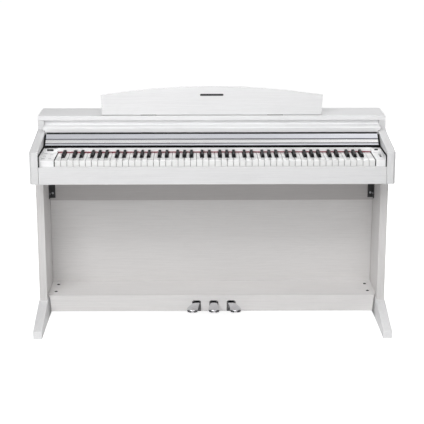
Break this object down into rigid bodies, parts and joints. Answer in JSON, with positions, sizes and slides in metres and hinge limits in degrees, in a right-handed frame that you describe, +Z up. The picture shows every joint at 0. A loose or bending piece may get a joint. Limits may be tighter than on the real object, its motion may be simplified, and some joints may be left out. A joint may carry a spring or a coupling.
{
  "type": "digital piano on stand",
  "caption": "Upright digital piano in white wood grain on a panelled stand, with a sliding key cover, a folding music rest and three pedals.",
  "frame": {"origin": "centre of the footprint on the floor, under the middle of the overall box", "axes": "+X to the player's right, +Y from the player towards the back of the piano, +Z up"},
  "size_m": [1.39, 0.543, 0.924],
  "materials": {
    "white_woodgrain": "satin white paint over an embossed horizontal wood grain",
    "white_satin_plastic": "satin white moulded plastic",
    "white_key_plastic": "polished white key plastic",
    "black_key_plastic": "black key plastic with a satin top",
    "brushed_aluminium": "brushed along its length, with two machined grooves",
    "black_plastic": "fine moulded texture",
    "black_steel": "black powder coat",
    "display_glass": "dark glossy window",
    "chassis_plastic": "grey moulded plastic",
    "circuit_board": "green solder mask",
    "speaker_paper": "black paper cone and pressed frame",
    "grey_plastic": "light grey moulded plastic",
    "pedal_chrome": "polished cast metal",
    "spring_steel": "drawn wire",
    "zinc_steel": "zinc-plated screws, washers and nuts",
    "red_felt": "pressed wool felt strip behind the keys",
    "black_felt": "black dust felt",
    "black_rubber": "soft black seal on the rear edge of the rail"
  },
  "bodies": {
    "root": {"left_cheek": "white_woodgrain", "right_cheek": "white_woodgrain", "keybed": "white_woodgrain", "key_slip": "white_woodgrain", "top_lid": "white_woodgrain", "front_ledge": "white_woodgrain", "cabinet_back": "white_woodgrain", "left_end_block": "white_satin_plastic", "right_end_block": "white_satin_plastic", "name_strip": "white_satin_plastic", "cover_tracks": "black_plastic", "rest_hinge_bases": "black_steel", "display_window": "display_glass", "key_chassis": "chassis_plastic", "main_board": "circuit_board", "speakers": "speaker_paper", "jack_panel": "black_plastic", "left_leg": "white_woodgrain", "right_leg": "white_woodgrain", "left_foot": "white_woodgrain", "right_foot": "white_woodgrain", "back_panel": "white_woodgrain", "upper_rail": "white_woodgrain", "corner_brackets": "black_steel", "pedal_shelf": "white_woodgrain", "pedal_front_board": "white_woodgrain", "pedal_frame": "black_steel", "pedal_springs": "spring_steel", "screws": "black_steel"},
    "key_c4": {"key_c4": "white_key_plastic"},
    "key_cs4": {"key_cs4": "black_key_plastic"},
    "key_d4": {"key_d4": "white_key_plastic"},
    "key_ds4": {"key_ds4": "black_key_plastic"},
    "key_e4": {"key_e4": "white_key_plastic"},
    "key_f4": {"key_f4": "white_key_plastic"},
    "key_fs4": {"key_fs4": "black_key_plastic"},
    "key_g4": {"key_g4": "white_key_plastic"},
    "key_gs4": {"key_gs4": "black_key_plastic"},
    "key_a4": {"key_a4": "white_key_plastic"},
    "key_as4": {"key_as4": "black_key_plastic"},
    "key_b4": {"key_b4": "white_key_plastic"},
    "white_keys_bass": {"white_keys_bass": "white_key_plastic"},
    "white_keys_treble": {"white_keys_treble": "white_key_plastic"},
    "black_keys_bass": {"black_keys_bass": "black_key_plastic"},
    "black_keys_treble": {"black_keys_treble": "black_key_plastic"},
    "key_cover": {"cover_board": "white_woodgrain", "cover_rail": "brushed_aluminium", "cover_end_caps": "black_plastic"},
    "rest": {"music_rest": "white_woodgrain", "rest_hinge_leaves": "black_steel"},
    "left_pedal": {"left_pedal": "pedal_chrome"},
    "middle_pedal": {"middle_pedal": "pedal_chrome"},
    "right_pedal": {"right_pedal": "pedal_chrome"},
    "volume_knob": {"volume_knob": "grey_plastic"},
    "power_button": {"power_button": "black_plastic"},
    "panel_button_1": {"panel_button_1": "grey_plastic"},
    "panel_button_2": {"panel_button_2": "grey_plastic"},
    "panel_button_3": {"panel_button_3": "grey_plastic"},
    "panel_button_4": {"panel_button_4": "grey_plastic"},
    "panel_button_5": {"panel_button_5": "grey_plastic"}
  },
  "joints": [
    {"name": "key_c4_dip", "type": "hinge", "parent": "root", "child": "key_c4", "pos_m": [0.0095, 0.0255, 0.676], "axis": [1, 0, 0], "range_deg": [0, 2.6], "stiffness_Nm_per_rad": 0.6, "springref_deg": -17.19},
    {"name": "key_cs4_dip", "type": "hinge", "parent": "root", "child": "key_cs4", "pos_m": [0.0095, 0.0255, 0.676], "axis": [1, 0, 0], "range_deg": [0, 2.6], "stiffness_Nm_per_rad": 0.6, "springref_deg": -17.19},
    {"name": "key_d4_dip", "type": "hinge", "parent": "root", "child": "key_d4", "pos_m": [0.0095, 0.0255, 0.676], "axis": [1, 0, 0], "range_deg": [0, 2.6], "stiffness_Nm_per_rad": 0.6, "springref_deg": -17.19},
    {"name": "key_ds4_dip", "type": "hinge", "parent": "root", "child": "key_ds4", "pos_m": [0.0095, 0.0255, 0.676], "axis": [1, 0, 0], "range_deg": [0, 2.6], "stiffness_Nm_per_rad": 0.6, "springref_deg": -17.19},
    {"name": "key_e4_dip", "type": "hinge", "parent": "root", "child": "key_e4", "pos_m": [0.0095, 0.0255, 0.676], "axis": [1, 0, 0], "range_deg": [0, 2.6], "stiffness_Nm_per_rad": 0.6, "springref_deg": -17.19},
    {"name": "key_f4_dip", "type": "hinge", "parent": "root", "child": "key_f4", "pos_m": [0.0095, 0.0255, 0.676], "axis": [1, 0, 0], "range_deg": [0, 2.6], "stiffness_Nm_per_rad": 0.6, "springref_deg": -17.19},
    {"name": "key_fs4_dip", "type": "hinge", "parent": "root", "child": "key_fs4", "pos_m": [0.0095, 0.0255, 0.676], "axis": [1, 0, 0], "range_deg": [0, 2.6], "stiffness_Nm_per_rad": 0.6, "springref_deg": -17.19},
    {"name": "key_g4_dip", "type": "hinge", "parent": "root", "child": "key_g4", "pos_m": [0.0095, 0.0255, 0.676], "axis": [1, 0, 0], "range_deg": [0, 2.6], "stiffness_Nm_per_rad": 0.6, "springref_deg": -17.19},
    {"name": "key_gs4_dip", "type": "hinge", "parent": "root", "child": "key_gs4", "pos_m": [0.0095, 0.0255, 0.676], "axis": [1, 0, 0], "range_deg": [0, 2.6], "stiffness_Nm_per_rad": 0.6, "springref_deg": -17.19},
    {"name": "key_a4_dip", "type": "hinge", "parent": "root", "child": "key_a4", "pos_m": [0.0095, 0.0255, 0.676], "axis": [1, 0, 0], "range_deg": [0, 2.6], "stiffness_Nm_per_rad": 0.6, "springref_deg": -17.19},
    {"name": "key_as4_dip", "type": "hinge", "parent": "root", "child": "key_as4", "pos_m": [0.0095, 0.0255, 0.676], "axis": [1, 0, 0], "range_deg": [0, 2.6], "stiffness_Nm_per_rad": 0.6, "springref_deg": -17.19},
    {"name": "key_b4_dip", "type": "hinge", "parent": "root", "child": "key_b4", "pos_m": [0.0095, 0.0255, 0.676], "axis": [1, 0, 0], "range_deg": [0, 2.6], "stiffness_Nm_per_rad": 0.6, "springref_deg": -17.19},
    {"name": "white_keys_bass_dip", "type": "hinge", "parent": "root", "child": "white_keys_bass", "pos_m": [0.0095, 0.0255, 0.676], "axis": [1, 0, 0], "range_deg": [0, 2.6], "stiffness_Nm_per_rad": 13.8, "springref_deg": -17.19},
    {"name": "white_keys_treble_dip", "type": "hinge", "parent": "root", "child": "white_keys_treble", "pos_m": [0.0095, 0.0255, 0.676], "axis": [1, 0, 0], "range_deg": [0, 2.6], "stiffness_Nm_per_rad": 13.2, "springref_deg": -17.19},
    {"name": "black_keys_bass_dip", "type": "hinge", "parent": "root", "child": "black_keys_bass", "pos_m": [0.0095, 0.0255, 0.676], "axis": [1, 0, 0], "range_deg": [0, 2.6], "stiffness_Nm_per_rad": 9.6, "springref_deg": -17.19},
    {"name": "black_keys_treble_dip", "type": "hinge", "parent": "root", "child": "black_keys_treble", "pos_m": [0.0095, 0.0255, 0.676], "axis": [1, 0, 0], "range_deg": [0, 2.6], "stiffness_Nm_per_rad": 9, "springref_deg": -17.19},
    {"name": "key_cover_slide", "type": "slide", "parent": "root", "child": "key_cover", "axis": [0, -1, 0], "range_m": [0, 0.165]},
    {"name": "music_rest_fold", "type": "hinge", "parent": "root", "child": "rest", "pos_m": [0, 0.116, 0.815], "axis": [-1, 0, 0], "range_deg": [0, 75]},
    {"name": "left_pedal_press", "type": "hinge", "parent": "root", "child": "left_pedal", "pos_m": [-0.063, 0.1055, 0.065], "axis": [1, 0, 0], "range_deg": [0, 3.8], "stiffness_Nm_per_rad": 20, "springref_deg": -11.46},
    {"name": "middle_pedal_press", "type": "hinge", "parent": "root", "child": "middle_pedal", "pos_m": [0.007, 0.1055, 0.065], "axis": [1, 0, 0], "range_deg": [0, 3.8], "stiffness_Nm_per_rad": 20, "springref_deg": -11.46},
    {"name": "right_pedal_press", "type": "hinge", "parent": "root", "child": "right_pedal", "pos_m": [0.077, 0.1055, 0.065], "axis": [1, 0, 0], "range_deg": [0, 3.8], "stiffness_Nm_per_rad": 20, "springref_deg": -11.46},
    {"name": "volume_slide", "type": "slide", "parent": "root", "child": "volume_knob", "axis": [0, 1, 0], "range_m": [-0.022, 0.022]},
    {"name": "power_press", "type": "slide", "parent": "root", "child": "power_button", "axis": [0, 0.6971, -0.717], "range_m": [0, 0.001], "stiffness_N_per_m": 800, "springref_m": -0.001},
    {"name": "button_1_press", "type": "slide", "parent": "root", "child": "panel_button_1", "axis": [0, 0, -1], "range_m": [0, 0.001], "stiffness_N_per_m": 800, "springref_m": -0.001},
    {"name": "button_2_press", "type": "slide", "parent": "root", "child": "panel_button_2", "axis": [0, 0, -1], "range_m": [0, 0.001], "stiffness_N_per_m": 800, "springref_m": -0.001},
    {"name": "button_3_press", "type": "slide", "parent": "root", "child": "panel_button_3", "axis": [0, 0, -1], "range_m": [0, 0.001], "stiffness_N_per_m": 800, "springref_m": -0.001},
    {"name": "button_4_press", "type": "slide", "parent": "root", "child": "panel_button_4", "axis": [0, 0, -1], "range_m": [0, 0.001], "stiffness_N_per_m": 800, "springref_m": -0.001},
    {"name": "button_5_press", "type": "slide", "parent": "root", "child": "panel_button_5", "axis": [0, 0, -1], "range_m": [0, 0.001], "stiffness_N_per_m": 800, "springref_m": -0.001}
  ]
}
